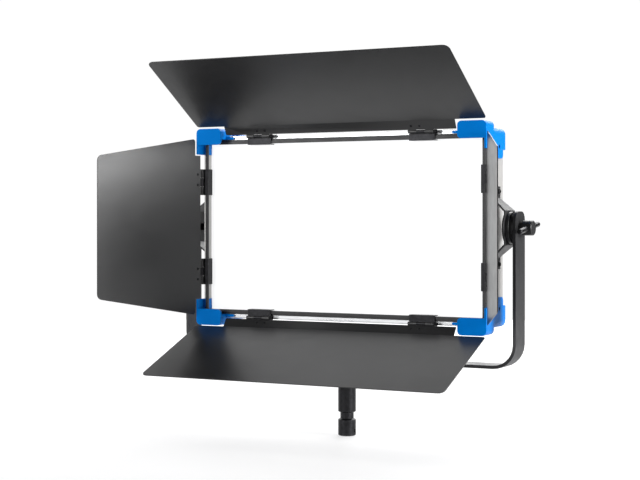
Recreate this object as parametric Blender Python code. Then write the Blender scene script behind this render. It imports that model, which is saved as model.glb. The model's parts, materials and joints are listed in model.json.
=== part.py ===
"""LED panel light with barn doors on a tilting yoke, built as separate named sub-parts.

Millimetre positions are given from the window centre at the barn-door frame's front plane:
x to the right, y to the rear, z up. place() moves them into the part frame, in metres.
"""
import math

import bmesh
import bpy
from mathutils import Matrix, Vector

MM = 0.001

# The part frame stands at the spigot's lower end, below the tilt axis.
AXIS_Y = 29.6
SPIGOT_END = 326.0

# Light window and barn-door frame
WINDOW_X = 237.5
WINDOW_Z = 133.0
FRAME_X = 242.5
FRAME_Z = 140.4
FRAME_RIB_Z = 137.6
FRAME_DEPTH = 3.0

# Aluminium rails of the housing
RAIL_FRONT = 3.3
RAIL_REAR = 62.0
RAIL_OUT_X = 246.5
RAIL_OUT_Z = 146.5
RAIL_WALL = 4.0
LIP_REAR = 11.4
GROOVE_LO = 38.2
GROOVE_HI = 41.8
GROOVE_DEPTH = 2.0

# Corner holders
CORNER_X = 249.7
CORNER_FRONT_Z = 158.3
CORNER_REAR_Z = 149.5
CORNER_FRONT_Y = -16.0
CORNER_STEP_Y = 16.0
CORNER_REAR_Y = 64.3
CORNER_ARM_X = 204.0
CORNER_ARM_Z = 132.3
CORNER_FOOT_Z = 117.0
CORNER_WALL = 3.0
CORNER_END_X = 206.6
CORNERS = (("top_left", -1, 1), ("top_right", 1, 1),
           ("bottom_left", -1, -1), ("bottom_right", 1, -1))

# Barn doors
SHEET = 1.4
HINGE_Y = -4.5
HINGE_Z = 144.5
HINGE_X = 246.2
HINGE_LENGTH = 42.0
BARREL_LENGTH = 14.0
BARREL_R = 2.7
PIN_R = 1.2
BORE_R = 1.5
CLIP_FOLD = 1.6
CLIP_FRONT = 1.7
HINGE_AT_X = 141.0
HINGE_AT_Z = 72.5
WIDE_FLANGE = 19.0
WIDE_BLADE = 172.5
WIDE_HALF = 248.6
WIDE_FLANGE_HALF = 198.8
WIDE_BEND = math.radians(31.4)
TOP_ANGLE = math.radians(58.0)
BOTTOM_ANGLE = math.radians(68.0)
SIDE_FLANGE = 13.4
SIDE_BLADE = 180.0
SIDE_ROOT_HALF = 142.5
SIDE_TIP_HALF = 111.0
SIDE_FLANGE_HALF = 115.5
LEFT_ANGLE = math.radians(65.5)
RIGHT_ANGLE = math.radians(64.8)

# Yoke, pivots and spigot
YOKE_X = 286.0
YOKE_BAR = 5.0
YOKE_WIDTH = 40.0
YOKE_TOP_Z = 24.5
YOKE_LOW_Z = -208.5
YOKE_BEND_R = 36.0
SPIGOT_R = 14.0
SPIGOT_NECK_R = 10.6
NECK_LO = 25.0
NECK_HI = 36.0

# Rear box and its controls
BOX_X = 118.0
BOX_Z = 82.0
BOX_FRONT = 48.4
BOX_REAR = 98.0
PANEL_FACE = 99.8
KNOB_X = (-66.0, -22.0, 22.0)
KNOB_Z = -8.0
KEY_X = (-14.0, 14.0, 42.0)
KEY_Z = 38.0

GAP = 0.3


def place(x, y, z):
    """Part-frame position in metres of a point given in millimetres."""
    return Vector((x * MM, (y - AXIS_Y) * MM, (z + SPIGOT_END) * MM))


def clear_scene():
    for obj in list(bpy.data.objects):
        bpy.data.objects.remove(obj, do_unlink=True)


def material(name, colour, metallic, roughness):
    found = bpy.data.materials.get(name)
    if found:
        return found
    made = bpy.data.materials.new(name)
    made.use_nodes = True
    shader = made.node_tree.nodes["Principled BSDF"]
    shader.inputs["Base Color"].default_value = (*colour, 1.0)
    shader.inputs["Metallic"].default_value = metallic
    shader.inputs["Roughness"].default_value = roughness
    return made


def new_object(name, bm):
    bmesh.ops.remove_doubles(bm, verts=bm.verts, dist=1e-6)
    bmesh.ops.recalc_face_normals(bm, faces=bm.faces)
    mesh = bpy.data.meshes.new(name)
    bm.to_mesh(mesh)
    bm.free()
    obj = bpy.data.objects.new(name, mesh)
    bpy.context.collection.objects.link(obj)
    return obj


def prism(name, outline, axis, low, high):
    """Closed prism: an outline in the two other axes, run along axis from low to high."""
    bm = bmesh.new()
    rings = []
    for level in (low, high):
        ring = []
        for a, b in outline:
            spot = {"x": (level, a, b), "y": (a, level, b), "z": (a, b, level)}[axis]
            ring.append(bm.verts.new(place(*spot)))
        rings.append(ring)
    bm.faces.new(rings[0])
    bm.faces.new(rings[1])
    count = len(outline)
    for i in range(count):
        j = (i + 1) % count
        bm.faces.new((rings[0][i], rings[0][j], rings[1][j], rings[1][i]))
    return new_object(name, bm)


def rect(a0, a1, b0, b1):
    return [(a0, b0), (a1, b0), (a1, b1), (a0, b1)]


def block(name, xs, ys, zs):
    return prism(name, rect(min(xs), max(xs), min(ys), max(ys)), "z", min(zs), max(zs))


def rounded(corners, steps=4):
    """Outline whose corners (a, b, radius) are turned into arcs."""
    count = len(corners)
    outline = []
    for i in range(count):
        here = Vector(corners[i][:2])
        radius = corners[i][2]
        if radius <= 0.0:
            outline.append(tuple(here))
            continue
        to_prev = (Vector(corners[i - 1][:2]) - here).normalized()
        to_next = (Vector(corners[(i + 1) % count][:2]) - here).normalized()
        half = to_prev.angle(to_next) / 2.0
        middle = here + (to_prev + to_next).normalized() * (radius / math.sin(half))
        first = here + to_prev * (radius / math.tan(half)) - middle
        last = here + to_next * (radius / math.tan(half)) - middle
        turn = math.atan2(first.x * last.y - first.y * last.x, first.dot(last))
        for k in range(steps + 1):
            arm = first.copy()
            arm.rotate(Matrix.Rotation(turn * k / steps, 2))
            outline.append(tuple(middle + arm))
    return outline


def circle(a, b, radius, count):
    steps = [2.0 * math.pi * k / count for k in range(count)]
    return [(a + radius * math.cos(t), b + radius * math.sin(t)) for t in steps]


def turned(name, profile, axis, centre, count=32):
    """Closed solid of revolution; profile rows are (position along the axis, radius)."""
    bm = bmesh.new()
    rings = []
    for along, radius in profile:
        if radius < 1e-6:
            rings.append([(along, 0.0, 0.0)])
            continue
        rings.append([(along, a, b) for a, b in circle(0.0, 0.0, radius, count)])
    rows = []
    for ring in rings:
        row = []
        for along, a, b in ring:
            spot = {
                "x": (along, centre[0] + a, centre[1] + b),
                "y": (centre[0] + a, along, centre[1] + b),
                "z": (centre[0] + a, centre[1] + b, along),
            }[axis]
            row.append(bm.verts.new(place(*spot)))
        rows.append(row)
    for low, high in zip(rows, rows[1:]):
        for i in range(count):
            j = (i + 1) % count
            quad = [low[i % len(low)], low[j % len(low)], high[j % len(high)], high[i % len(high)]]
            face = list(dict.fromkeys(quad))
            if len(face) > 2:
                bm.faces.new(face)
    for row in (rows[0], rows[-1]):
        if len(row) > 2:
            bm.faces.new(row)
    return new_object(name, bm)


def tube(name, axis, centre, outer, inner, low, high, count=28):
    """Closed ring-shaped solid along an axis."""
    bm = bmesh.new()
    loops = []
    for radius, level in ((outer, low), (outer, high), (inner, high), (inner, low)):
        ring = []
        for a, b in circle(centre[0], centre[1], radius, count):
            spot = {"x": (level, a, b), "y": (a, level, b), "z": (a, b, level)}[axis]
            ring.append(bm.verts.new(place(*spot)))
        loops.append(ring)
    for k in range(4):
        here = loops[k]
        there = loops[(k + 1) % 4]
        for i in range(count):
            j = (i + 1) % count
            bm.faces.new((here[i], here[j], there[j], there[i]))
    return new_object(name, bm)


def combine(base, others, operation):
    """Boolean the others into base with the exact solver and keep the result as base's mesh."""
    for other in others:
        step = base.modifiers.new("step", "BOOLEAN")
        step.operation = operation
        step.solver = "EXACT"
        step.object = other
        other.hide_render = True
        other.display_type = "WIRE"
    bpy.context.view_layer.update()
    seen = base.evaluated_get(bpy.context.evaluated_depsgraph_get())
    result = bpy.data.meshes.new_from_object(seen)
    base.modifiers.clear()
    base.data = result
    for other in others:
        bpy.data.objects.remove(other, do_unlink=True)
    return base


def fuse(base, *others):
    return combine(base, others, "UNION")


def cut(base, *others):
    return combine(base, others, "DIFFERENCE")


def finish(obj, surface, origin=None, smooth=False, spin=None):
    """Set material and origin, turn the piece about its origin if asked, and shade it."""
    home = place(*origin) if origin else place(0.0, AXIS_Y, 0.0)
    obj.data.transform(Matrix.Translation(-home))
    if spin:
        obj.data.transform(spin)
    obj.location = home
    obj.data.materials.clear()
    obj.data.materials.append(surface)
    if smooth:
        obj.data.shade_smooth()
        obj.data.set_sharp_from_angle(angle=math.radians(35.0))
    return obj


def make_surfaces():
    return {
        "black": material("black_powder_coat", (0.022, 0.022, 0.024), 0.0, 0.55),
        "leaf": material("black_matt_sheet", (0.03, 0.03, 0.032), 0.0, 0.6),
        "blue": material("blue_nylon", (0.0, 0.17, 0.62), 0.0, 0.42),
        "silver": material("anodised_aluminium", (0.72, 0.73, 0.74), 0.9, 0.34),
        "steel": material("blackened_steel", (0.05, 0.05, 0.055), 0.85, 0.38),
        "rubber": material("black_rubber", (0.015, 0.015, 0.015), 0.0, 0.8),
        "plastic": material("black_abs", (0.02, 0.02, 0.02), 0.0, 0.45),
        "diffuser": material("opal_acrylic", (0.95, 0.95, 0.95), 0.0, 0.35),
        "white": material("white_reflector", (0.9, 0.9, 0.9), 0.0, 0.5),
        "board": material("white_led_board", (0.8, 0.82, 0.8), 0.0, 0.5),
        "pcb": material("green_circuit_board", (0.02, 0.13, 0.05), 0.0, 0.5),
        "screen": material("display_glass", (0.01, 0.012, 0.016), 0.0, 0.08),
        "fin": material("black_anodised_aluminium", (0.03, 0.03, 0.033), 0.8, 0.45),
    }


def make_rails(use):
    """Four extruded rails with a front lip, an outer slot and a rear lip."""
    for side, sign in (("left", -1.0), ("right", 1.0)):
        section = rail_section(WINDOW_X + GAP, RAIL_OUT_X, 234.0)
        outline = [(sign * a, b) for a, b in section]
        rail = prism("rail_" + side, outline, "z", -116.7, 116.7)
        finish(rail, use["silver"])
    for side, sign in (("bottom", -1.0), ("top", 1.0)):
        section = rail_section(WINDOW_Z + GAP, RAIL_OUT_Z, 130.0)
        outline = [(b, sign * a) for a, b in section]
        rail = prism("rail_" + side, outline, "x", -242.7, 242.7)
        finish(rail, use["silver"])


def rail_section(lip, outer, rear_lip):
    """Rail outline as (distance from the window centre, depth)."""
    inner = outer - RAIL_WALL
    return [
        (lip, RAIL_FRONT),
        (outer, RAIL_FRONT),
        (outer, GROOVE_LO),
        (outer - GROOVE_DEPTH, GROOVE_LO),
        (outer - GROOVE_DEPTH, GROOVE_HI),
        (outer, GROOVE_HI),
        (outer, RAIL_REAR),
        (rear_lip, RAIL_REAR),
        (rear_lip, RAIL_REAR - 2.5),
        (inner, RAIL_REAR - 2.5),
        (inner, LIP_REAR),
        (lip, LIP_REAR),
    ]


def corner_outline(top, top_round, inner_round):
    """Angle-shaped outline of a corner holder in x and z, for the upper right corner."""
    wall = CORNER_X - CORNER_WALL
    return [
        (CORNER_ARM_X, top, inner_round),
        (CORNER_X, top, top_round),
        (CORNER_X, CORNER_FOOT_Z, 1.2),
        (wall, CORNER_FOOT_Z, 0.0),
        (wall, CORNER_ARM_Z, 0.0),
        (CORNER_ARM_X, CORNER_ARM_Z, inner_round),
    ]


def mirrored(outline, sx, sz):
    return [(sx * a, sz * b) for a, b in outline]


def make_corner(name, sx, sz, use):
    """One moulded corner holder: front pocket for the frame, rear cap over the rails."""
    front = mirrored(rounded(corner_outline(CORNER_FRONT_Z, 7.0, 6.0)), sx, sz)
    piece = prism(name, front, "y", CORNER_FRONT_Y, CORNER_STEP_Y)
    rear = mirrored(rounded(corner_outline(CORNER_REAR_Z, 9.0, 3.0)), sx, sz)
    cap = prism("cap", rear, "y", 10.0, CORNER_REAR_Y)
    post = block("post", (sx * 243.0, sx * 247.2), (3.3, CORNER_REAR_Y), (sz * 117.0, sz * 139.5))
    lip = block("lip", (sx * 237.8, sx * 243.4), (3.3, LIP_REAR), (sz * 117.0, sz * 132.9))
    heel = block("heel", (sx * 234.0, sx * 244.0), (62.3, CORNER_REAR_Y), (sz * 117.0, sz * 134.0))
    fuse(piece, cap)
    pocket = mirrored(rounded([(190.0, 100.0, 0.0), (190.0, 141.2, 0.0), (CORNER_END_X, 141.2, 0.0),
                               (CORNER_END_X, 155.3, 2.0), (246.7, 155.3, 4.5),
                               (246.7, 100.0, 0.0)]), sx, sz)
    cut(piece, prism("pocket", pocket, "y", CORNER_FRONT_Y + CORNER_WALL, 13.0))
    inside = mirrored(rounded([(190.0, 100.0, 0.0), (190.0, 146.8, 0.0),
                               (246.8, 146.8, 5.0), (246.8, 100.0, 0.0)]), sx, sz)
    cut(piece, prism("inside", inside, "y", 3.1, 62.3))
    fuse(piece, post, lip, heel)
    side_tab = rounded([(22.0, 118.5, 0.0), (56.0, 118.5, 0.0), (56.0, 104.0, 6.0), (22.0, 104.0, 6.0)])
    tab_x = prism("tab_x", [(a, sz * b) for a, b in side_tab], "x",
                  min(sx * 247.0, sx * 249.3), max(sx * 247.0, sx * 249.3))
    top_tab = rounded([(206.0, 22.0, 0.0), (206.0, 56.0, 0.0), (189.0, 56.0, 6.0), (189.0, 22.0, 6.0)])
    tab_z = prism("tab_z", [(sx * a, b) for a, b in top_tab], "z",
                  min(sz * 147.0, sz * 149.1), max(sz * 147.0, sz * 149.1))
    tongue = rounded([(189.0, 140.9, 1.4), (247.0, 140.9, 0.0), (247.0, 146.2, 0.0), (189.0, 144.6, 1.4)])
    strip = prism("strip", mirrored(tongue, sx, sz), "y", 0.6, 3.0)
    fuse(piece, tab_x, tab_z, strip)
    screw = tube_plug("screw", "x", (39.0, sz * 121.5), 3.2, sx * 247.4, sx * 251.0)
    cut(piece, screw)
    return finish(piece, use["blue"])


def tube_plug(name, axis, centre, radius, low, high, count=14):
    return prism(name, circle(centre[0], centre[1], radius, count), axis, min(low, high), max(low, high))


def make_frame(use):
    """Barn-door frame: a thin picture frame with a thinner outer border above and below."""
    frame = block("barndoor_frame", (-FRAME_X, FRAME_X), (0.0, FRAME_DEPTH), (-FRAME_RIB_Z, FRAME_RIB_Z))
    border = block("border", (-FRAME_X, FRAME_X), (1.6, FRAME_DEPTH), (-FRAME_Z, FRAME_Z))
    fuse(frame, border)
    hole = block("hole", (-WINDOW_X, WINDOW_X), (-5.0, 8.0), (-WINDOW_Z, WINDOW_Z))
    cut(frame, hole)
    finish(frame, use["black"])


def sheet_solid(name, flange_half, root_half, tip_half, flange, blade, bend, tip_round):
    """Bent sheet in hinge coordinates: u along the hinge line, v outward, w towards the beam."""
    arc = rounded([(-root_half, flange, 4.0), (root_half, flange, 4.0),
                   (tip_half, flange + blade, tip_round), (-tip_half, flange + blade, tip_round)])
    across = Vector((0.0, math.cos(bend), math.sin(bend)))
    lift = Vector((0.0, -math.sin(bend), math.cos(bend)))
    bm = bmesh.new()

    def spot(u, v, side):
        if v <= flange + 1e-6:
            mitre = math.tan(bend / 2.0) * side
            if v < flange - 1e-6:
                return Vector((u, v, side))
            return Vector((u, flange - mitre, side))
        reach = v - flange
        base = Vector((u, flange, 0.0)) + across * reach
        return base + lift * side

    start = 3.4
    pieces = []
    for side in (-SHEET / 2.0, SHEET / 2.0):
        left = bm.verts.new(spot(-flange_half, flange, side))
        right = bm.verts.new(spot(flange_half, flange, side))
        low_left = bm.verts.new(spot(-flange_half, start, side))
        low_right = bm.verts.new(spot(flange_half, start, side))
        ring = []
        joined = False
        for u, v in arc:
            if v <= flange + 1e-6 and u > 0.0 and not joined:
                ring.append(left)
                ring.append(right)
                joined = True
            ring.append(bm.verts.new(spot(u, v, side)))
        pieces.append((ring, [left, low_left, low_right, right]))
    for ring, strip in pieces:
        bm.faces.new(ring)
        bm.faces.new(strip)
    lower, upper = pieces
    for a, b in ((lower[0], upper[0]), (lower[1], upper[1])):
        count = len(a)
        for i in range(count):
            j = (i + 1) % count
            pair = {a[i], a[j]}
            if pair == {lower[1][0], lower[1][3]}:
                continue
            bm.faces.new((a[i], a[j], b[j], b[i]))
    bmesh.ops.scale(bm, vec=(MM, MM, MM), verts=bm.verts)
    return new_object(name, bm)


def local_tube(name, centre_u, length):
    """Hinge knuckle of a leaf around the u axis, with its tab to the flange."""
    bm = bmesh.new()
    loops = []
    low = centre_u - length / 2.0
    high = centre_u + length / 2.0
    for radius, level in ((BARREL_R, low), (BARREL_R, high), (BORE_R, high), (BORE_R, low)):
        loops.append([bm.verts.new(Vector((level, a, b)) * MM) for a, b in circle(0.0, 0.0, radius, 12)])
    for k in range(4):
        here = loops[k]
        there = loops[(k + 1) % 4]
        for i in range(12):
            j = (i + 1) % 12
            bm.faces.new((here[i], here[j], there[j], there[i]))
    return new_object(name, bm)


def local_block(name, us, vs, ws):
    bm = bmesh.new()
    bmesh.ops.create_cube(bm, size=1.0)
    size = Vector((us[1] - us[0], vs[1] - vs[0], ws[1] - ws[0])) * MM
    middle = Vector((us[1] + us[0], vs[1] + vs[0], ws[1] + ws[0])) * (MM / 2.0)
    bmesh.ops.scale(bm, vec=size, verts=bm.verts)
    bmesh.ops.translate(bm, vec=middle, verts=bm.verts)
    return new_object(name, bm)


def make_leaf(name, hinge_at, wide, axes, home, use):
    """A leaf with its hinge knuckles, set on its hinge line with the given u, v, w directions."""
    if wide:
        leaf = sheet_solid(name, WIDE_FLANGE_HALF, WIDE_HALF, WIDE_HALF,
                           WIDE_FLANGE, WIDE_BLADE, WIDE_BEND, 9.0)
    else:
        leaf = sheet_solid(name, SIDE_FLANGE_HALF, SIDE_ROOT_HALF, SIDE_TIP_HALF,
                           SIDE_FLANGE, SIDE_BLADE, 0.0, 9.0)
    parts = []
    reach = (HINGE_LENGTH - BARREL_LENGTH) / 2.0 - GAP
    for centre in (-hinge_at, hinge_at):
        for side in (-1.0, 1.0):
            middle = centre + side * (BARREL_LENGTH / 2.0 + GAP + reach / 2.0)
            parts.append(local_tube("knuckle", middle, reach))
            parts.append(local_block("tab", (middle - reach / 2.0, middle + reach / 2.0),
                                     (1.9, 4.4), (-SHEET / 2.0, SHEET / 2.0)))
    fuse(leaf, *parts)
    spin = Matrix((axes[0], axes[1], axes[2])).transposed().to_4x4()
    leaf.data.transform(spin)
    if spin.determinant() < 0.0:
        leaf.data.flip_normals()
    leaf.location = place(*home)
    leaf.data.materials.clear()
    leaf.data.materials.append(use["leaf"])
    leaf.data.shade_smooth()
    leaf.data.set_sharp_from_angle(angle=math.radians(28.0))
    return leaf


def leaf_axes(outward, along, angle):
    """Directions of a leaf opened by angle from the window plane; outward and along are unit axes."""
    out = Vector(outward)
    front = Vector((0.0, -1.0, 0.0))
    v = out * math.cos(angle) + front * math.sin(angle)
    w = front * math.cos(angle) - out * math.sin(angle)
    return Vector(along), v, w


def make_leaves(use):
    flange_top = TOP_ANGLE - WIDE_BEND
    flange_bottom = BOTTOM_ANGLE - WIDE_BEND
    make_leaf("leaf_top", HINGE_AT_X, True, leaf_axes((0, 0, 1), (1, 0, 0), flange_top),
              (0.0, HINGE_Y, HINGE_Z), use)
    make_leaf("leaf_bottom", HINGE_AT_X, True, leaf_axes((0, 0, -1), (1, 0, 0), flange_bottom),
              (0.0, HINGE_Y, -HINGE_Z), use)
    make_leaf("leaf_left", HINGE_AT_Z, False, leaf_axes((-1, 0, 0), (0, 0, 1), LEFT_ANGLE),
              (-HINGE_X, HINGE_Y, 0.0), use)
    make_leaf("leaf_right", HINGE_AT_Z, False, leaf_axes((1, 0, 0), (0, 0, 1), RIGHT_ANGLE),
              (HINGE_X, HINGE_Y, 0.0), use)


def clip_section(window, hinge):
    """Folded clip outline as (distance from the window centre, depth)."""
    return [
        (window - CLIP_FOLD, 10.8),
        (window - CLIP_FOLD, -CLIP_FRONT),
        (hinge - 1.0, -CLIP_FRONT),
        (hinge - 1.0, -GAP),
        (window - GAP - 0.1, -GAP),
        (window - GAP - 0.1, 10.8),
    ]


def make_clip(name, wide, sign, centre, use):
    """Frame side of a hinge: a folded clip over the frame bar, its barrel and the hinge pin."""
    half = HINGE_LENGTH / 2.0
    if wide:
        section = clip_section(WINDOW_Z, HINGE_Z)
        outline = [(b, sign * a) for a, b in section]
        clip = prism(name, outline, "x", centre - half, centre + half)
        hinge = (HINGE_Y, sign * HINGE_Z)
        axis = "x"
    else:
        section = clip_section(WINDOW_X, HINGE_X)
        outline = [(sign * a, b) for a, b in section]
        clip = prism(name, outline, "z", centre - half, centre + half)
        hinge = (sign * HINGE_X, HINGE_Y)
        axis = "z"
    for side in (-1.0, 1.0):
        low = centre + side * BARREL_LENGTH / 2.0
        high = centre + side * (half + 1.0)
        cut(clip, tube_plug("relief", axis, hinge, BARREL_R + 0.6, low, high))
    low = centre - BARREL_LENGTH / 2.0
    high = centre + BARREL_LENGTH / 2.0
    barrel = tube_plug("barrel", axis, hinge, BARREL_R, low, high)
    if wide:
        neck = block("neck", (low, high), (HINGE_Y, -1.0), (sign * (HINGE_Z - 2.5), sign * (HINGE_Z - 1.1)))
    else:
        neck = block("neck", (sign * (HINGE_X - 2.5), sign * (HINGE_X - 1.1)), (HINGE_Y, -1.0), (low, high))
    pin = tube_plug("pin", axis, hinge, PIN_R, centre - half + 0.4, centre + half - 0.4, 12)
    fuse(clip, barrel, neck, pin)
    finish(clip, use["steel"])


def make_clips(use):
    for sign, side in ((1.0, "top"), (-1.0, "bottom")):
        make_clip("hinge_clip_" + side + "_a", True, sign, -HINGE_AT_X, use)
        make_clip("hinge_clip_" + side + "_b", True, sign, HINGE_AT_X, use)
    for sign, side in ((-1.0, "left"), (1.0, "right")):
        make_clip("hinge_clip_" + side + "_a", False, sign, -HINGE_AT_Z, use)
        make_clip("hinge_clip_" + side + "_b", False, sign, HINGE_AT_Z, use)


def make_light_engine(use):
    """Diffuser, mixing chamber, LED board and finned heat sink, from front to rear."""
    diffuser = block("diffuser", (-241.9, 241.9), (11.7, 13.7), (-116.4, 116.4))
    tall = block("tall", (-237.2, 237.2), (11.7, 13.7), (-141.9, 141.9))
    fuse(diffuser, tall)
    finish(diffuser, use["diffuser"])
    chamber = block("light_chamber", (-240.6, 240.6), (14.0, 40.6), (-127.5, 127.5))
    cut(chamber, block("hollow", (-237.8, 237.8), (10.0, 50.0), (-124.7, 124.7)))
    finish(chamber, use["white"])
    finish(block("led_board", (-240.0, 240.0), (40.9, 42.5), (-127.0, 127.0)), use["board"])
    finish(make_heat_sink(), use["fin"])


def make_heat_sink():
    """Heat sink of one comb outline: a base with upright fins beside the rear box."""
    outline = [(-240.0, 42.8), (240.0, 42.8), (240.0, 48.0)]
    fins = []
    for k in range(9):
        left = 126.0 + 12.0 * k
        fins.append((left, left + 2.2))
    for low, high in reversed(fins):
        outline += [(high, 48.0), (high, 59.2), (low, 59.2), (low, 48.0)]
    for low, high in fins:
        outline += [(-low, 48.0), (-low, 59.2), (-high, 59.2), (-high, 48.0)]
    outline += [(-240.0, 48.0)]
    return prism("heat_sink", outline, "z", -129.0, 129.0)


def make_rear_box(use):
    """Rear electronics box, its control plate, sockets and the boards inside."""
    shape = rounded([(-BOX_X, -BOX_Z, 8.0), (BOX_X, -BOX_Z, 8.0), (BOX_X, BOX_Z, 8.0), (-BOX_X, BOX_Z, 8.0)])
    shell = prism("rear_box", shape, "y", BOX_FRONT, BOX_REAR)
    room_x = (-BOX_X + 2.4, BOX_X - 2.4)
    room_z = (-BOX_Z + 2.4, BOX_Z - 2.4)
    cut(shell, block("room", room_x, (40.0, BOX_REAR - 2.4), room_z))
    for z in (-BOX_Z, BOX_Z):
        vents = [block("vent", (x - 2.0, x + 2.0), (58.0, 88.0), (z - 6.0, z + 6.0))
                 for x in range(-84, 85, 14)]
        cut(shell, *vents)
    finish(shell, use["black"])
    plate = block("control_plate", (-102.0, 102.0), (BOX_REAR + GAP, PANEL_FACE), (-64.0, 64.0))
    wells = [tube_plug("well", "y", (x, KNOB_Z), 4.0, 90.0, 110.0) for x in KNOB_X]
    wells += [tube_plug("well", "y", (x, KEY_Z), 5.4, 90.0, 110.0) for x in KEY_X]
    holes = [tube_plug("hole", "y", (x, KNOB_Z), 4.0, 90.0, 110.0) for x in KNOB_X]
    holes += [tube_plug("hole", "y", (x, KEY_Z), 5.4, 90.0, 110.0) for x in KEY_X]
    holes.append(block("slot", (64.4, 85.6), (90.0, 110.0), (24.4, 51.6)))
    wells.append(block("slot", (64.4, 85.6), (90.0, 110.0), (24.4, 51.6)))
    cut(plate, *wells)
    cut(shell, *holes)
    finish(plate, use["plastic"])
    screen = prism("display_window", rounded([(-86.0, 22.0, 3.0), (-34.0, 22.0, 3.0),
                                              (-34.0, 54.0, 3.0), (-86.0, 54.0, 3.0)]),
                   "y", PANEL_FACE + GAP, PANEL_FACE + 1.8)
    finish(screen, use["screen"])
    finish(block("driver_board", (-96.0, 96.0), (60.0, 61.6), (-70.0, 30.0)), use["pcb"])
    finish(block("power_module", (-90.0, 10.0), (61.9, 84.0), (-66.0, -22.0)), use["silver"])


def make_sockets(use):
    """Mains inlet and the two data sockets on the control plate."""
    inlet = prism("power_inlet", rounded([(-92.0, -56.0, 2.0), (-58.0, -56.0, 2.0),
                                          (-58.0, -32.0, 2.0), (-92.0, -32.0, 2.0)]),
                  "y", PANEL_FACE + GAP, PANEL_FACE + 9.0)
    well = rounded([(-88.0, -52.0, 1.5), (-62.0, -52.0, 1.5), (-62.0, -39.0, 2.5), (-88.0, -39.0, 2.5)])
    cut(inlet, prism("well", well, "y", PANEL_FACE + 1.6, 130.0))
    pins = [block("pin", (x - 1.1, x + 1.1), (PANEL_FACE + 1.0, PANEL_FACE + 4.6), (z - 2.0, z + 2.0))
            for x, z in ((-81.5, -47.0), (-75.0, -43.5), (-68.5, -47.0))]
    fuse(inlet, *pins)
    finish(inlet, use["plastic"])
    for name, x, pins_out in (("data_socket_in", 22.0, True), ("data_socket_out", 58.0, False)):
        seat = rounded([(x - 13.0, -57.0, 2.0), (x + 13.0, -57.0, 2.0),
                        (x + 13.0, -29.0, 2.0), (x - 13.0, -29.0, 2.0)])
        socket = prism(name, seat, "y", PANEL_FACE + GAP, PANEL_FACE + 2.4)
        fuse(socket, tube("ring", "y", (x, -43.0), 11.0, 9.2, PANEL_FACE + 1.0, PANEL_FACE + 8.6, 24))
        contacts = []
        for k in range(3):
            turn = math.radians(90.0 + 120.0 * k)
            spot = (x + 4.6 * math.cos(turn), -43.0 + 4.6 * math.sin(turn))
            if pins_out:
                contacts.append(tube_plug("pin", "y", spot, 1.1, PANEL_FACE + 1.0, PANEL_FACE + 5.4, 10))
            else:
                contacts.append(tube_plug("bore", "y", spot, 1.3, PANEL_FACE + 1.2, PANEL_FACE + 9.0, 10))
        if pins_out:
            fuse(socket, *contacts)
        else:
            core = tube_plug("core", "y", (x, -43.0), 7.6, PANEL_FACE + 1.0, PANEL_FACE + 7.6, 20)
            fuse(socket, core)
            cut(socket, *contacts)
        finish(socket, use["steel"])


def make_controls(use):
    """Dimmer, colour and menu knobs, three keys and the mains rocker."""
    for k, x in enumerate(KNOB_X):
        name = ("knob_dimmer", "knob_colour", "knob_menu")[k]
        face = PANEL_FACE + 0.6
        knob = turned(name, [(face - 8.0, 3.2), (face, 3.2), (face, 10.6), (face + 1.2, 11.0),
                             (face + 13.4, 10.0), (face + 14.4, 9.0), (face + 14.4, 0.0)],
                      "y", (x, KNOB_Z), 24)
        notch = block("notch", (x - 0.7, x + 0.7), (face + 13.2, face + 20.0), (KNOB_Z + 3.0, KNOB_Z + 20.0))
        cut(knob, notch)
        finish(knob, use["plastic"], origin=(x, face, KNOB_Z), smooth=True)
    for k, x in enumerate(KEY_X):
        name = ("key_mode", "key_back", "key_link")[k]
        key = turned(name, [(PANEL_FACE - 3.2, 5.0), (PANEL_FACE + 2.2, 5.0), (PANEL_FACE + 2.8, 4.4),
                            (PANEL_FACE + 2.8, 0.0)], "y", (x, KEY_Z), 24)
        finish(key, use["rubber"], origin=(x, PANEL_FACE, KEY_Z), smooth=True)
    rocker = rounded([(PANEL_FACE - 4.0, 26.2, 1.0), (PANEL_FACE + 4.6, 25.4, 1.2),
                      (PANEL_FACE + 2.4, 38.0, 0.0), (PANEL_FACE + 2.8, 50.4, 1.2),
                      (PANEL_FACE - 4.0, 49.8, 1.0)])
    switch = prism("power_switch", rocker, "x", 65.4, 84.6)
    finish(switch, use["plastic"], origin=(75.0, PANEL_FACE - 1.0, 38.0))


def yoke_outline():
    """Centred U outline of the yoke bar in x and z, drawn at its full thickness."""
    outer = []
    inner = []
    radius = YOKE_BEND_R
    for sign in (-1.0, 1.0):
        steps = range(8) if sign < 0 else range(7, -1, -1)
        for k in steps:
            turn = math.pi / 2.0 * k / 7.0
            cx = sign * (YOKE_X - radius)
            cz = YOKE_LOW_Z + radius
            outer.append((cx + sign * radius * math.cos(turn), cz - radius * math.sin(turn)))
            small = radius - YOKE_BAR
            inner.append((cx + sign * small * math.cos(turn), cz - small * math.sin(turn)))
    path = [(-YOKE_X, YOKE_TOP_Z)] + outer + [(YOKE_X, YOKE_TOP_Z)]
    back = [(-YOKE_X + YOKE_BAR, YOKE_TOP_Z)] + inner + [(YOKE_X - YOKE_BAR, YOKE_TOP_Z)]
    return path + back[::-1]


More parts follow.
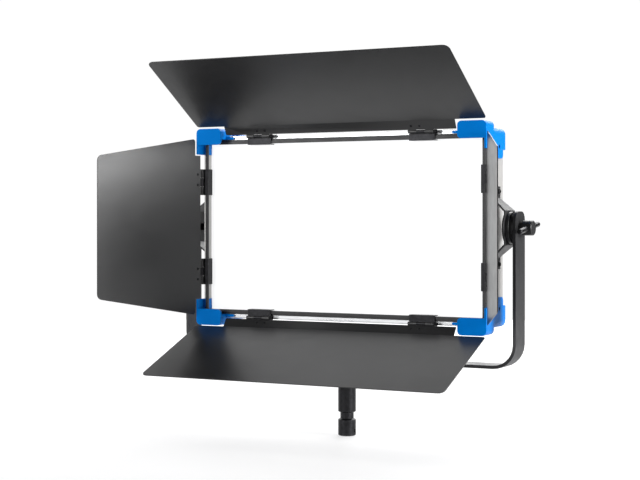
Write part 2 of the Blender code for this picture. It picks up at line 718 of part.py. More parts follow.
def make_yoke(use):
    """Flat-bar yoke with rounded arm ends, pivot holes and a centre hole for the spigot bolt."""
    half = YOKE_WIDTH / 2.0
    yoke = prism("yoke_bar", yoke_outline(), "y", AXIS_Y - half, AXIS_Y + half)
    wide = half + 9.0
    over = YOKE_TOP_Z + 9.0
    under = YOKE_TOP_Z - 30.0
    trim = rounded([(AXIS_Y - wide, over, 0.0), (AXIS_Y + wide, over, 0.0),
                    (AXIS_Y + wide, under, 0.0), (AXIS_Y + half, under, 0.0),
                    (AXIS_Y + half, YOKE_TOP_Z, 13.0), (AXIS_Y - half, YOKE_TOP_Z, 13.0),
                    (AXIS_Y - half, under, 0.0), (AXIS_Y - wide, under, 0.0)])
    cut(yoke, prism("trim", trim, "x", -300.0, 300.0))
    cut(yoke, tube_plug("pivot", "x", (AXIS_Y, 0.0), 6.4, -300.0, 300.0, 24))
    cut(yoke, tube_plug("centre", "z", (0.0, AXIS_Y), 5.4, -215.0, -195.0, 20))
    finish(yoke, use["black"])


def make_spigot(use):
    """Grooved 28 mm spigot under the yoke, with its cross hole, bolt bore and bolt."""
    top = YOKE_LOW_Z - GAP
    low = -SPIGOT_END
    spigot = turned("spigot", [(low, 12.4), (low + 1.2, SPIGOT_R), (low + NECK_LO, SPIGOT_R),
                               (low + NECK_LO + 2.0, SPIGOT_NECK_R), (low + NECK_HI, SPIGOT_NECK_R),
                               (low + NECK_HI + 2.0, SPIGOT_R), (top, SPIGOT_R)], "z", (0.0, AXIS_Y), 32)
    cut(spigot, tube_plug("cross", "x", (AXIS_Y, low + 8.0), 3.0, -20.0, 20.0))
    cut(spigot, tube_plug("bore", "z", (0.0, AXIS_Y), 5.3, top - 26.0, top + 2.0, 20))
    finish(spigot, use["steel"], smooth=True)
    seat = YOKE_LOW_Z + YOKE_BAR + GAP
    bolt = turned("spigot_bolt", [(top - 22.0, 5.0), (seat, 5.0), (seat, 9.4), (seat + 6.0, 9.4),
                                  (seat + 6.6, 8.8), (seat + 6.6, 0.0)], "z", (0.0, AXIS_Y), 24)
    socket = tube_plug("socket", "z", (0.0, AXIS_Y), 4.0, seat + 2.6, seat + 9.0, 6)
    cut(bolt, socket)
    finish(bolt, use["steel"], smooth=True)


def bracket_outline(sign):
    """Side bracket profile in x and z: two feet on the rail, two legs and a raised plate."""
    foot = RAIL_OUT_X + GAP
    points = [(foot, 62.0), (foot, 43.0), (267.4, 24.4), (267.4, -24.4), (foot, -43.0), (foot, -62.0),
              (foot + 2.6, -62.0), (foot + 2.6, -44.4), (270.0, -25.6), (270.0, 25.6), (foot + 2.6, 44.4),
              (foot + 2.6, 62.0)]
    return [(sign * a, b) for a, b in points]


def make_pivot(side, sign, use):
    """Bracket on the rail, its pivot disc and the friction pad against the yoke arm."""
    bracket = prism("bracket_" + side, bracket_outline(sign), "y", AXIS_Y - 21.0, AXIS_Y + 21.0)
    for edge in (-1.0, 1.0):
        corner = [(AXIS_Y + edge * 15.0, 70.0), (AXIS_Y + edge * 15.0, 40.0), (AXIS_Y + edge * 21.2, 26.0),
                  (AXIS_Y + edge * 30.0, 26.0), (AXIS_Y + edge * 30.0, 70.0)]
        cut(bracket, prism("trim", corner, "x", -300.0, 300.0))
        lower = [(a, -b) for a, b in corner]
        cut(bracket, prism("trim", lower, "x", -300.0, 300.0))
    plate = [(AXIS_Y + 29.0 * math.cos(t), max(-25.0, min(25.0, 29.0 * math.sin(t))))
             for t in [math.pi * k / 18.0 for k in range(36)]]
    low = min(sign * 267.4, sign * 270.0)
    fuse(bracket, prism("disc", plate, "x", low, low + 2.6))
    cut(bracket, tube_plug("pivot", "x", (AXIS_Y, 0.0), 6.4, -300.0, 300.0, 24))
    finish(bracket, use["black"])
    disc = tube("pivot_disc_" + side, "x", (AXIS_Y, 0.0), 24.0, 6.4, sign * 270.3, sign * 275.6, 32)
    finish(disc, use["plastic"], smooth=True)
    pad = tube("friction_pad_" + side, "x", (AXIS_Y, 0.0), 21.5, 6.4, sign * 275.9, sign * 280.7, 32)
    finish(pad, use["rubber"], smooth=True)


def make_handle(use):
    """Tilt lock: a hub with a stud through the yoke and a cross bar for the hand."""
    centre = (AXIS_Y, 0.0)
    hub = turned("tilt_lock_hub", [(259.0, 0.0), (259.0, 5.6), (260.0, 6.0), (286.3, 6.0), (286.3, 9.4),
                                   (291.0, 9.4), (291.0, 11.2), (305.4, 11.2), (306.6, 10.0), (306.6, 0.0)],
                  "x", centre, 28)
    bore = tube_plug("bore", "y", (299.0, 0.0), 4.3, AXIS_Y - 20.0, AXIS_Y + 20.0, 20)
    cut(hub, bore)
    origin = (286.3, AXIS_Y, 0.0)
    lean = Matrix.Rotation(math.radians(7.5), 4, "X")
    finish(hub, use["plastic"], origin=origin, smooth=True, spin=lean)
    bar = turned("tilt_lock_bar", [(AXIS_Y - 42.0, 0.0), (AXIS_Y - 42.0, 2.6), (AXIS_Y - 40.6, 4.0),
                                   (AXIS_Y + 40.6, 4.0), (AXIS_Y + 42.0, 2.6), (AXIS_Y + 42.0, 0.0)],
                 "y", (299.0, 0.0), 20)
    finish(bar, use["steel"], origin=origin, smooth=True, spin=lean)


def make_left_bolt(use):
    """Plain pivot bolt with a domed head on the left arm."""
    bolt = turned("pivot_bolt_left", [(-259.0, 0.0), (-259.0, 5.6), (-260.0, 6.0), (-286.3, 6.0),
                                      (-286.3, 12.0), (-290.4, 12.0), (-294.0, 8.6), (-294.0, 0.0)],
                  "x", (AXIS_Y, 0.0), 28)
    cut(bolt, tube_plug("socket", "x", (AXIS_Y, 0.0), 4.6, -290.6, -297.0, 6))
    finish(bolt, use["steel"], smooth=True)


def build():
    clear_scene()
    use = make_surfaces()
    make_yoke(use)
    make_spigot(use)
    make_handle(use)
    make_left_bolt(use)
    for side, sign in (("left", -1.0), ("right", 1.0)):
        make_pivot(side, sign, use)
    make_rails(use)
    for name, sx, sz in CORNERS:
        make_corner("corner_" + name, sx, sz, use)
    make_frame(use)
    make_clips(use)
    make_leaves(use)
    make_light_engine(use)
    make_rear_box(use)
    make_sockets(use)
    make_controls(use)


build()
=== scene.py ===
"""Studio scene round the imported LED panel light: surfaces, small fittings, floor, lights and camera."""
import json
import math

import bmesh
import bpy
from mathutils import Matrix, Vector


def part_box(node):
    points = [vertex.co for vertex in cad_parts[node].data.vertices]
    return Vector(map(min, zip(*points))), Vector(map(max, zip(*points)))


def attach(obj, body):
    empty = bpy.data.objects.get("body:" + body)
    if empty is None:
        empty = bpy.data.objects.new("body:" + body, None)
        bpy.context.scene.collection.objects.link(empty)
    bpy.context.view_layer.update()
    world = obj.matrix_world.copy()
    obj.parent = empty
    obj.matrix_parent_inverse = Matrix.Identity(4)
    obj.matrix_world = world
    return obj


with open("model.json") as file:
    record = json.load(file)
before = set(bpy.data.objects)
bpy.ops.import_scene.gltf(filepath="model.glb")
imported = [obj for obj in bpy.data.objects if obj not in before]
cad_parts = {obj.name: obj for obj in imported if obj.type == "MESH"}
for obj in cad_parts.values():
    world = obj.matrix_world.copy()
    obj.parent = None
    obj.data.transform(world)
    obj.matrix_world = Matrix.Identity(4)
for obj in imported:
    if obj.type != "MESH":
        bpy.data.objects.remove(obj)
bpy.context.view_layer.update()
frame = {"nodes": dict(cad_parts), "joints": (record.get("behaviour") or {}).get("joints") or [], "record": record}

MM = 0.001
AXIS_Y = 29.6
SPIGOT_END = 326.0
SHEET_HALF = 0.7
SMOOTH_ANGLE = 35.0
BEVEL_ANGLE = 32.0


def place(x, y, z):
    """Metres in the part frame of millimetres measured from the middle of the light window."""
    return Vector((x * MM, (y - AXIS_Y) * MM, (z + SPIGOT_END) * MM))


def linear(r, g, b):
    """Linear colour of an 8-bit display colour."""
    out = []
    for value in (r, g, b):
        v = value / 255.0
        out.append(v / 12.92 if v <= 0.04045 else ((v + 0.055) / 1.055) ** 2.4)
    return (*out, 1.0)


# ---------------------------------------------------------------- surfaces

BLACK = linear(36, 36, 38)
OPAL = linear(140, 141, 142)


class Surface:
    """A node material in the object's own coordinates, in metres."""

    def __init__(self, name, colour, roughness, metallic=0.0, **sockets):
        self.material = bpy.data.materials.new(name)
        self.material.use_nodes = True
        self.tree = self.material.node_tree
        self.shader = self.tree.nodes["Principled BSDF"]
        self.coords = self.tree.nodes.new("ShaderNodeTexCoord").outputs["Object"]
        self.colour = colour
        self.shader.inputs["Base Color"].default_value = colour
        self.shader.inputs["Roughness"].default_value = roughness
        self.shader.inputs["Metallic"].default_value = metallic
        for socket, value in sockets.items():
            self.shader.inputs[socket.replace("_", " ")].default_value = value
        self.heights = []

    def node(self, kind, **values):
        made = self.tree.nodes.new(kind)
        for key, value in values.items():
            setattr(made, key, value)
        return made

    def link(self, out, into):
        self.tree.links.new(out, into)

    def stretched(self, scale):
        mapping = self.node("ShaderNodeMapping")
        mapping.inputs["Scale"].default_value = scale
        self.link(self.coords, mapping.inputs["Vector"])
        return mapping.outputs["Vector"]

    def noise(self, scale, detail, stretch=None, warp=0.0):
        made = self.node("ShaderNodeTexNoise")
        made.inputs["Scale"].default_value = scale
        made.inputs["Detail"].default_value = detail
        made.inputs["Roughness"].default_value = 0.55
        made.inputs["Distortion"].default_value = warp
        self.link(self.stretched(stretch) if stretch else self.coords, made.inputs["Vector"])
        return made.outputs["Fac"]

    def cells(self, scale):
        made = self.node("ShaderNodeTexVoronoi", feature="F1")
        made.inputs["Scale"].default_value = scale
        self.link(self.coords, made.inputs["Vector"])
        return made.outputs["Distance"]

    def range(self, value, low, high, out_low, out_high):
        made = self.node("ShaderNodeMapRange")
        ends = {"From Min": low, "From Max": high, "To Min": out_low, "To Max": out_high}
        for name, number in ends.items():
            made.inputs[name].default_value = number
        self.link(value, made.inputs["Value"])
        return made.outputs["Result"]

    def math(self, operation, a, b):
        made = self.node("ShaderNodeMath", operation=operation)
        for socket, value in zip(made.inputs, (a, b)):
            if isinstance(value, (int, float)):
                socket.default_value = value
            else:
                self.link(value, socket)
        return made.outputs["Value"]

    def mix(self, factor, a, b):
        made = self.node("ShaderNodeMix", data_type="RGBA")
        self.link(factor, made.inputs["Factor"])
        for socket, value in ((made.inputs[6], a), (made.inputs[7], b)):
            if isinstance(value, tuple):
                socket.default_value = value
            else:
                self.link(value, socket)
        return made.outputs[2]

    def set(self, socket, value):
        self.link(value, self.shader.inputs[socket])
        return self

    def bump(self, height, distance, strength=1.0):
        made = self.node("ShaderNodeBump")
        made.inputs["Distance"].default_value = distance
        made.inputs["Strength"].default_value = strength
        self.link(height, made.inputs["Height"])
        if self.heights:
            self.link(self.heights[-1].outputs["Normal"], made.inputs["Normal"])
        self.heights.append(made)
        self.link(made.outputs["Normal"], self.shader.inputs["Normal"])
        return self

    def worn(self, colour, wear, radius, amount):
        """Lighter, rubbed edges: found where a small bevel would turn the normal."""
        bevel = self.node("ShaderNodeBevel", samples=4)
        bevel.inputs["Radius"].default_value = radius
        geometry = self.node("ShaderNodeNewGeometry")
        dot = self.node("ShaderNodeVectorMath", operation="DOT_PRODUCT")
        self.link(bevel.outputs["Normal"], dot.inputs[0])
        self.link(geometry.outputs["Normal"], dot.inputs[1])
        edge = self.range(dot.outputs["Value"], 0.995, 0.86, 0.0, 1.0)
        patch = self.range(self.noise(70.0, 4.0), 0.42, 0.62, 0.15, 1.0)
        mask = self.math("MULTIPLY", self.math("MULTIPLY", edge, patch), amount)
        return self.mix(mask, colour, wear)


def shade(colour, factor):
    return tuple(min(1.0, c * factor) for c in colour[:3]) + (1.0,)


def powder_coat(name, colour, roughness):
    """Fine-textured powder coat with a slightly uneven gloss."""
    s = Surface(name, colour, roughness, Specular_IOR_Level=0.45)
    cloud = s.noise(22.0, 4.0)
    body = s.mix(s.range(cloud, 0.3, 0.7, 0.0, 1.0), shade(colour, 0.82), shade(colour, 1.22))
    s.set("Base Color", s.worn(body, shade(colour, 4.5), 0.0006, 0.55))
    s.set("Roughness", s.range(s.noise(60.0, 5.0), 0.3, 0.7, roughness - 0.05, roughness + 0.07))
    s.bump(s.noise(1400.0, 2.0), 0.00012, 0.5)
    return s.material


def sheet_paint(name, colour, roughness, specular):
    """Satin black paint on flat sheet: very fine orange peel and faint handling marks."""
    s = Surface(name, colour, roughness, Specular_IOR_Level=specular)
    haze = s.noise(9.0, 5.0, warp=0.6)
    s.set("Base Color", s.mix(s.range(haze, 0.3, 0.7, 0.0, 1.0), shade(colour, 0.9), shade(colour, 1.12)))
    smear = s.noise(14.0, 6.0, stretch=(1.0, 1.0, 2.4), warp=1.2)
    s.set("Roughness", s.range(smear, 0.3, 0.72, roughness - 0.025, roughness + 0.035))
    s.bump(s.noise(900.0, 2.0), 0.00008, 0.35)
    return s.material


def moulded(name, colour, roughness, specular, tint=(1.0, 1.0, 1.0, 1.0)):
    """Spark-eroded moulded plastic: fine stipple, slight flow variation."""
    s = Surface(name, colour, roughness, Specular_IOR_Level=specular, Specular_Tint=tint)
    flow = s.noise(16.0, 3.0, stretch=(1.0, 1.0, 0.5), warp=0.8)
    s.set("Base Color", s.mix(s.range(flow, 0.3, 0.7, 0.0, 1.0), shade(colour, 0.93), shade(colour, 1.06)))
    s.set("Roughness", s.range(s.noise(240.0, 3.0), 0.3, 0.7, roughness - 0.04, roughness + 0.06))
    s.bump(s.cells(2600.0), 0.00006, 0.4)
    return s.material


def anodised(name, colour, roughness, stretch, metallic=1.0):
    """Extruded, anodised aluminium with fine die lines along its length."""
    s = Surface(name, colour, roughness, metallic)
    lines = s.noise(900.0, 3.0, stretch=stretch)
    s.set("Base Color", s.mix(s.range(lines, 0.3, 0.7, 0.0, 1.0), shade(colour, 0.9), shade(colour, 1.06)))
    gloss = s.noise(300.0, 3.0, stretch=stretch)
    s.set("Roughness", s.range(gloss, 0.3, 0.7, roughness - 0.06, roughness + 0.08))
    s.bump(lines, 0.00003, 0.5)
    return s.material


def blackened(name, colour, roughness):
    """Black-oxide steel, rubbed brighter along its edges."""
    s = Surface(name, colour, roughness, 0.85)
    mottle = s.noise(180.0, 5.0, warp=0.5)
    body = s.mix(s.range(mottle, 0.3, 0.7, 0.0, 1.0), shade(colour, 0.7), shade(colour, 1.4))
    s.set("Base Color", s.worn(body, linear(150, 150, 152), 0.0005, 0.5))
    s.set("Roughness", s.range(s.noise(90.0, 5.0), 0.3, 0.7, roughness - 0.07, roughness + 0.09))
    s.bump(s.noise(1500.0, 3.0), 0.00006, 0.4)
    return s.material


def turned_steel(name, colour, roughness):
    """Bright zinc-plated screws with fine turning marks."""
    s = Surface(name, colour, roughness, 1.0)
    ring = s.noise(2200.0, 3.0, stretch=(1.0, 1.0, 0.15))
    s.set("Base Color", s.mix(ring, shade(colour, 0.75), colour))
    s.set("Roughness", s.range(s.noise(500.0, 4.0), 0.3, 0.7, roughness - 0.06, roughness + 0.1))
    s.bump(ring, 0.00002, 0.4)
    return s.material


def rubber(name):
    s = Surface(name, linear(26, 26, 27), 0.78, Specular_IOR_Level=0.3)
    dust = s.noise(120.0, 5.0, warp=0.4)
    s.set("Base Color", s.mix(s.range(dust, 0.45, 0.75, 0.0, 1.0), linear(24, 24, 25), linear(46, 46, 47)))
    s.bump(s.noise(1800.0, 2.0), 0.00012, 0.5)
    return s.material


def glowing_acrylic(name):
    """Opal sheet lit from behind by rows of emitters: almost even, a little dimmer at the rim."""
    s = Surface(name, OPAL, 0.32, Emission_Strength=0.86)
    split = s.node("ShaderNodeSeparateXYZ")
    s.link(s.coords, split.inputs["Vector"])
    low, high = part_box("diffuser")
    rims = []
    for axis, socket in ((0, "X"), (2, "Z")):
        middle = (low[axis] + high[axis]) / 2.0
        half = (high[axis] - low[axis]) / 2.0
        away = s.math("ABSOLUTE", s.math("SUBTRACT", split.outputs[socket], middle), 0.0)
        rims.append(s.range(away, half - 0.05, half, 0.0, 1.0))
    rim = s.math("MAXIMUM", rims[0], rims[1])
    mottle = s.math("MULTIPLY", s.noise(34.0, 2.0), 0.12)
    factor = s.math("ADD", s.math("MULTIPLY", rim, 0.5), mottle)
    s.set("Emission Color", s.mix(factor, (1.0, 1.0, 1.0, 1.0), (0.945, 0.955, 0.965, 1.0)))
    s.set("Base Color", s.mix(s.noise(60.0, 3.0), shade(OPAL, 0.94), OPAL))
    s.bump(s.noise(1500.0, 2.0), 0.00006, 0.3)
    return s.material


def white_board(name, colour, roughness):
    s = Surface(name, colour, roughness)
    s.set("Base Color", s.mix(s.noise(40.0, 3.0), shade(colour, 0.94), colour))
    s.bump(s.noise(1200.0, 2.0), 0.00005, 0.4)
    return s.material


def circuit(name):
    s = Surface(name, linear(20, 92, 48), 0.42)
    tracks = s.noise(420.0, 1.0, stretch=(1.0, 1.0, 0.2))
    s.set("Base Color", s.mix(s.range(tracks, 0.48, 0.52, 0.0, 1.0), linear(16, 84, 44), linear(30, 112, 60)))
    s.bump(s.range(tracks, 0.48, 0.52, 0.0, 1.0), 0.00004, 0.6)
    return s.material


def glass(name):
    s = Surface(name, linear(8, 9, 12), 0.06, Specular_IOR_Level=0.6, Coat_Weight=0.6, Coat_Roughness=0.03)
    s.set("Base Color", s.mix(s.noise(30.0, 3.0), linear(6, 7, 10), linear(14, 16, 21)))
    s.set("Roughness", s.range(s.noise(26.0, 6.0, warp=1.0), 0.4, 0.7, 0.04, 0.16))
    return s.material


def screen_print(name):
    """Segments of a lit display: dim, cool and slightly uneven."""
    s = Surface(name, linear(60, 110, 140), 0.4, Emission_Strength=0.55)
    s.set("Emission Color", s.mix(s.noise(160.0, 2.0), linear(90, 170, 205), linear(130, 205, 235)))
    return s.material


SILVER = linear(214, 215, 217)
LOOKS = {
    "black_powder_coat": powder_coat("powder_coat_black", BLACK, 0.44),
    "black_matt_sheet": sheet_paint("sheet_paint_black", linear(31, 31, 32), 0.3, 0.46),
    "blue_nylon": moulded("nylon_blue", linear(0, 117, 207), 0.42, specular=0.25, tint=(0.0, 0.4, 1.0, 1.0)),
    "anodised_aluminium": anodised("anodised_silver", SILVER, 0.3, (0.03, 1.0, 1.0)),
    "blackened_steel": blackened("steel_black_oxide", linear(40, 40, 42), 0.38),
    "black_rubber": rubber("rubber_black"),
    "black_abs": moulded("abs_black", linear(30, 30, 31), 0.4, specular=0.45),
    "opal_acrylic": glowing_acrylic("acrylic_opal_lit"),
    "white_reflector": white_board("reflector_white", linear(240, 240, 240), 0.45),
    "white_led_board": white_board("board_white", linear(232, 236, 232), 0.5),
    "green_circuit_board": circuit("circuit_green"),
    "display_glass": glass("display_dark_glass"),
    "black_anodised_aluminium": anodised("anodised_black", linear(40, 40, 43), 0.42, (1.0, 1.0, 0.03), 0.8),
}
RAIL_UPRIGHT = anodised("anodised_silver_upright", linear(188, 187, 185), 0.46, (1.0, 1.0, 0.03), 0.4)
ZINC = turned_steel("screw_zinc", linear(176, 178, 180), 0.3)
BLACK_SCREW = blackened("screw_black", linear(30, 30, 32), 0.4)
SLOT_OF = {row["node"]: row["material_slot"] for row in frame["record"]["subparts"]}

# Widths of the rounded edges in millimetres; nodes that aren't named get EDGE.
EDGE = 0.4
EDGES = {
    "corner": 1.1, "leaf": 0.32, "yoke_bar": 0.9, "bracket": 0.7, "rail": 0.35, "hinge": 0.25,
    "barndoor": 0.3,
    "rear_box": 1.2, "control_plate": 0.5, "tilt_lock": 0.6, "spigot": 0.5, "pivot": 0.6, "friction": 0.8,
    "heat_sink": 0.3, "knob": 0.5, "power": 0.5, "data": 0.35, "key": 0.4, "diffuser": 0.2, "display": 0.5,
}


def round_edges(obj, width):
    """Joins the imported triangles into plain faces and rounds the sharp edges, as modifiers."""
    custom = obj.data.attributes.get("custom_normal")
    if custom:
        obj.data.attributes.remove(custom)
    obj.data.shade_smooth()
    weld = obj.modifiers.new("weld", "WELD")
    weld.merge_threshold = 2e-6
    flat = obj.modifiers.new("flat", "DECIMATE")
    flat.decimate_type = "DISSOLVE"
    flat.angle_limit = math.radians(0.5)
    bevel = obj.modifiers.new("edges", "BEVEL")
    bevel.width = width * MM
    bevel.segments = 3
    bevel.limit_method = "ANGLE"
    bevel.angle_limit = math.radians(BEVEL_ANGLE)
    bevel.miter_outer = "MITER_ARC"
    normals = obj.modifiers.new("normals", "WEIGHTED_NORMAL")
    normals.weight = 80
    normals.keep_sharp = False


for node, obj in frame["nodes"].items():
    look = LOOKS[SLOT_OF[node]]
    if node in ("rail_left", "rail_right"):
        look = RAIL_UPRIGHT
    obj.data.materials.clear()
    obj.data.materials.append(look)
    width = next((value for key, value in EDGES.items() if node.startswith(key)), EDGE)
    round_edges(obj, width)


# ---------------------------------------------------------------- small fittings

def new_piece(name, bm, look, body, edge=0.0):
    bmesh.ops.recalc_face_normals(bm, faces=bm.faces)
    mesh = bpy.data.meshes.new(name)
    bm.to_mesh(mesh)
    bm.free()
    mesh.shade_smooth()
    mesh.set_sharp_from_angle(angle=math.radians(SMOOTH_ANGLE))
    mesh.materials.append(look)
    piece = bpy.data.objects.new(name, mesh)
    bpy.context.scene.collection.objects.link(piece)
    if edge:
        bevel = piece.modifiers.new("edges", "BEVEL")
        bevel.width = edge * MM
        bevel.segments = 2
        bevel.limit_method = "ANGLE"
        bevel.angle_limit = math.radians(BEVEL_ANGLE)
    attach(piece, body)
    return piece


def lathe(bm, profile, at, axis, count):
    """Closed turned shape: profile rows are (distance along axis, radius), in millimetres."""
    axis = Vector(axis).normalized()
    side = axis.orthogonal().normalized()
    other = axis.cross(side)
    rows = []
    for along, radius in profile:
        if radius < 1e-6:
            rows.append([bm.verts.new(at + axis * along * MM)])
            continue
        ring = []
        for k in range(count):
            t = 2.0 * math.pi * k / count
            spoke = side * math.cos(t) + other * math.sin(t)
            ring.append(bm.verts.new(at + (axis * along + spoke * radius) * MM))
        rows.append(ring)
    for low, high in zip(rows, rows[1:]):
        for i in range(count):
            j = (i + 1) % count
            quad = [low[i % len(low)], low[j % len(low)], high[j % len(high)], high[i % len(high)]]
            face = list(dict.fromkeys(quad))
            if len(face) > 2:
                bm.faces.new(face)
    for row in (rows[0], rows[-1]):
        if len(row) > 2:
            bm.faces.new(row)


def socket_screw(bm, at, axis, radius, height):
    """Button head with a round recess."""
    rows = [(-0.4, radius * 0.9), (0.15 * height, radius), (0.55 * height, radius * 0.93),
            (0.85 * height, radius * 0.74), (height, radius * 0.52)]
    lathe(bm, rows + [(height * 0.98, radius * 0.46), (height * 0.35, radius * 0.42), (height * 0.3, 0.0)],
          at, axis, 24)


def dome(bm, at, axis, radius, height):
    rows = [(-0.2, radius * 0.96)]
    for k in range(5):
        t = math.pi / 2.0 * k / 5.0
        rows.append((height * math.sin(t), radius * math.cos(t)))
    rows.append((height, 0.0))
    lathe(bm, rows, at, axis, 20)


JOINT = {joint["name"]: joint for joint in frame["joints"]}
# Way out, hinge line, slope of the flange from the window plane, joint and body of each leaf.
TOP_SLOPE = 58.0
BOTTOM_SLOPE = 68.0
FLANGE_BEND = 31.4
LEAVES = {
    "top": ((0, 0, 1), (1, 0, 0), TOP_SLOPE - FLANGE_BEND),
    "bottom": ((0, 0, -1), (1, 0, 0), BOTTOM_SLOPE - FLANGE_BEND),
    "left": ((-1, 0, 0), (0, 0, 1), 65.5),
    "right": ((1, 0, 0), (0, 0, 1), 64.8),
}
RIVETS_WIDE = (126.5, 140.5)
RIVETS_SIDE = (68.0, 85.0)
FRONT = Vector((0, -1, 0))


def leaf_frame(side):
    """Hinge position, hinge line, direction along the leaf, face normal and body of a leaf."""
    out, along, slope = LEAVES[side]
    out = Vector(out)
    angle = math.radians(slope)
    v = out * math.cos(angle) + FRONT * math.sin(angle)
    w = FRONT * math.cos(angle) - out * math.sin(angle)
    return Vector(JOINT[f"{side}_leaf_hinge"]["pos_m"]), Vector(along), v, w, f"{side}_leaf"


for side in LEAVES:
    home, along, v, w, body = leaf_frame(side)
    wide = side in ("top", "bottom")
    bm = bmesh.new()
    for u in (RIVETS_WIDE if wide else RIVETS_SIDE):
        for sign in (-1.0, 1.0):
            spot = home + (along * sign * u + v * (9.6 if wide else 8.4)) * MM
            dome(bm, spot + w * SHEET_HALF * MM, w, 2.1, 0.8)
            dome(bm, spot - w * SHEET_HALF * MM, -w, 2.3, 0.9)
    new_piece(f"rivets_{side}", bm, BLACK_SCREW, body)

for side, sign in (("top", 1.0), ("bottom", -1.0)):
    bm = bmesh.new()
    for x in (-141.0, 141.0):
        at = place(x + 21.6, -4.5, sign * 144.5)
        lathe(bm, [(0.0, 2.9), (4.6, 2.9)], at, (1, 0, 0), 6)
        lathe(bm, [(4.4, 1.3), (6.4, 1.3), (6.8, 0.9)], at, (1, 0, 0), 14)
    new_piece(f"hinge_nuts_{side}", bm, BLACK_SCREW, "head", 0.2)

bm = bmesh.new()
for sx in (-1.0, 1.0):
    for sz in (-1.0, 1.0):
        socket_screw(bm, place(sx * 248.0, 39.0, sz * 121.5), (sx, 0, 0), 2.7, 1.5)
new_piece("corner_screws", bm, BLACK_SCREW, "head")

bm = bmesh.new()
for sx in (-1.0, 1.0):
    for sz in (-1.0, 1.0):
        for y in (-7.5, 7.5):
            socket_screw(bm, place(sx * 249.4, AXIS_Y + y, sz * 54.5), (sx, 0, 0), 4.4, 2.8)
new_piece("bracket_screws", bm, BLACK_SCREW, "head")

# Faces of the rear and the knob centres (x, z), in millimetres.
PLATE_FACE = 99.8
BOX_FACE = 98.0
KNOB_TOP = 114.8
SCREEN_FACE = 101.6
KNOBS = {"dimmer": (-66.0, -8.0), "colour_knob": (-22.0, -8.0), "menu_knob": (22.0, -8.0)}


def stripe(bm, middle, angle, near, far, width, face, proud):
    """Low printed bar on a face that looks to +Y, drawn outward from a point between two radii."""
    x, z = middle
    ray = Vector((math.sin(angle), 0.0, math.cos(angle)))
    across = Vector((math.cos(angle), 0.0, -math.sin(angle))) * (width / 2.0)
    rings = []
    for y in (face - 0.2, face + proud):
        ring = []
        for reach, side in ((near, -1), (far, -1), (far, 1), (near, 1)):
            spot = ray * reach + across * side
            ring.append(bm.verts.new(place(x + spot.x, y, z + spot.z)))
        rings.append(ring)
    low, high = rings
    bm.faces.new(low)
    bm.faces.new(high)
    for i in range(4):
        j = (i + 1) % 4
        bm.faces.new((low[i], low[j], high[j], high[i]))


PRINT = white_board("print_white", linear(214, 216, 218), 0.55)

bm = bmesh.new()
for middle in KNOBS.values():
    for k in range(11):
        long = k % 5 == 0
        stripe(bm, middle, math.radians(-135.0 + 27.0 * k), 13.4, 16.6 if long else 15.4,
               0.9 if long else 0.6, PLATE_FACE, 0.12)
new_piece("dial_ticks", bm, PRINT, "head")

for body, middle in KNOBS.items():
    bm = bmesh.new()
    stripe(bm, middle, 0.0, 3.4, 8.6, 1.2, KNOB_TOP, 0.12)
    new_piece(f"pointer_{body}", bm, PRINT, body)

bm = bmesh.new()
for z, reach in ((46.0, 38.0), (38.0, 26.0), (30.0, 33.0)):
    stripe(bm, (-79.0, z), math.pi / 2.0, 0.0, reach, 2.2, SCREEN_FACE, 0.08)
new_piece("display_bars", bm, screen_print("display_bars_lit"), "head")

bm = bmesh.new()
for sx in (-1.0, 1.0):
    for sz in (-1.0, 1.0):
        socket_screw(bm, place(sx * 110.0, BOX_FACE, sz * 73.5), (0, 1, 0), 2.9, 1.7)
        socket_screw(bm, place(sx * 97.2, PLATE_FACE, sz * 59.4), (0, 1, 0), 2.0, 1.2)
new_piece("cover_screws", bm, ZINC, "head")

# ---------------------------------------------------------------- floor, lights and camera

FLOOR_RADIUS = 2.6
FLOOR_DROP = 0.0006


def stage_floor():
    """Pale, softly self-lit round floor that runs out into the white of the studio."""
    bm = bmesh.new()
    bmesh.ops.create_circle(bm, cap_ends=True, radius=FLOOR_RADIUS, segments=96)
    bmesh.ops.translate(bm, vec=(0.0, 0.0, -FLOOR_DROP), verts=bm.verts)
    mesh = bpy.data.meshes.new("floor")
    bm.to_mesh(mesh)
    bm.free()
    floor = bpy.data.objects.new("floor", mesh)
    bpy.context.scene.collection.objects.link(floor)
    s = Surface("studio_floor", (0.3, 0.3, 0.3, 1.0), 0.7, Specular_IOR_Level=0.1, Emission_Strength=1.0)
    away = s.node("ShaderNodeVectorMath", operation="LENGTH")
    s.link(s.coords, away.inputs[0])
    rim = s.range(away.outputs["Value"], 0.7, 2.0, 0.0, 1.0)
    s.set("Emission Color", s.mix(rim, (0.66, 0.66, 0.663, 1.0), (1.01, 1.01, 1.01, 1.0)))
    s.set("Base Color", s.mix(s.noise(1.5, 3.0), (0.3, 0.3, 0.302, 1.0), (0.31, 0.31, 0.311, 1.0)))
    mesh.materials.append(s.material)


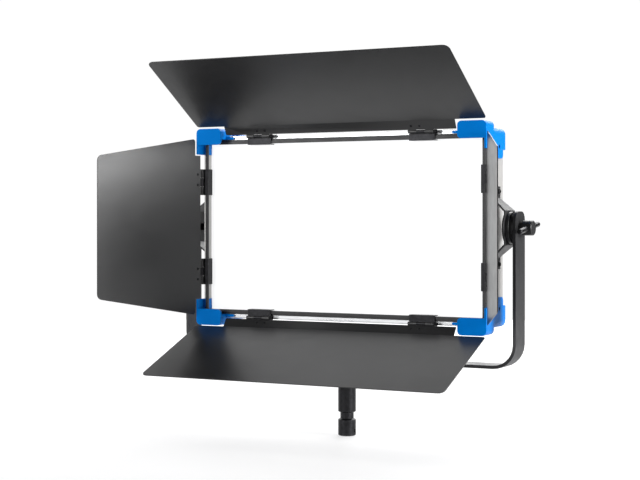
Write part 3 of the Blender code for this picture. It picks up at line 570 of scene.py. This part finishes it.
def softbox(name, at, size, power):
    data = bpy.data.lights.new(name, "AREA")
    data.shape = "RECTANGLE"
    data.size, data.size_y = size
    data.energy = power
    lamp = bpy.data.objects.new(name, data)
    lamp.location = at
    lamp.rotation_euler = (Vector(TARGET) - Vector(at)).to_track_quat("-Z", "Y").to_euler()
    bpy.context.scene.collection.objects.link(lamp)


def studio_world():
    world = bpy.data.worlds.new("studio")
    bpy.context.scene.world = world
    world.use_nodes = True
    nodes = world.node_tree.nodes
    links = world.node_tree.links
    nodes["Background"].inputs["Color"].default_value = (1.0, 1.0, 1.0, 1.0)
    nodes["Background"].inputs["Strength"].default_value = 0.04
    white = nodes.new("ShaderNodeBackground")
    white.inputs["Color"].default_value = (1.0, 1.0, 1.0, 1.0)
    white.inputs["Strength"].default_value = 1.02
    pick = nodes.new("ShaderNodeMixShader")
    links.new(nodes.new("ShaderNodeLightPath").outputs["Is Camera Ray"], pick.inputs["Fac"])
    links.new(nodes["Background"].outputs[0], pick.inputs[1])
    links.new(white.outputs[0], pick.inputs[2])
    links.new(pick.outputs[0], nodes["World Output"].inputs["Surface"])


stage_floor()
studio_world()
TARGET = (0.0, 0.0, 0.33)
softbox("top_rear", (0.2, 2.2, 2.2), (3.0, 1.5), 84.0)
softbox("right_high", (2.8, 0.2, 0.95), (1.0, 0.7), 71.0)
softbox("right_front", (2.8, -0.6, 0.7), (0.8, 0.8), 33.0)
softbox("top_left", (-1.8, 0.0, 2.0), (1.4, 1.4), 27.0)
softbox("left_rear", (-2.0, 1.6, 1.0), (1.2, 1.6), 12.0)
softbox("top_front", (0.2, -1.8, 2.4), (2.0, 1.2), 7.0)
softbox("rear_fill", (-0.5, 3.0, 0.7), (1.8, 1.4), 20.0)
softbox("front_left", (-1.8, -3.2, 1.3), (1.6, 1.6), 70.0)

camera_data = bpy.data.cameras.new("camera")
camera_data.sensor_width = 36.0
camera_data.lens = 81.56
camera_data.shift_y = -0.0376
camera = bpy.data.objects.new("camera", camera_data)
camera.location = (1.0124, -2.0366, 0.3437)
camera.rotation_euler = (math.radians(90.0), 0.0, math.radians(27.5))
bpy.context.scene.collection.objects.link(camera)
bpy.context.scene.camera = camera
bpy.context.scene.view_settings.view_transform = "Standard"
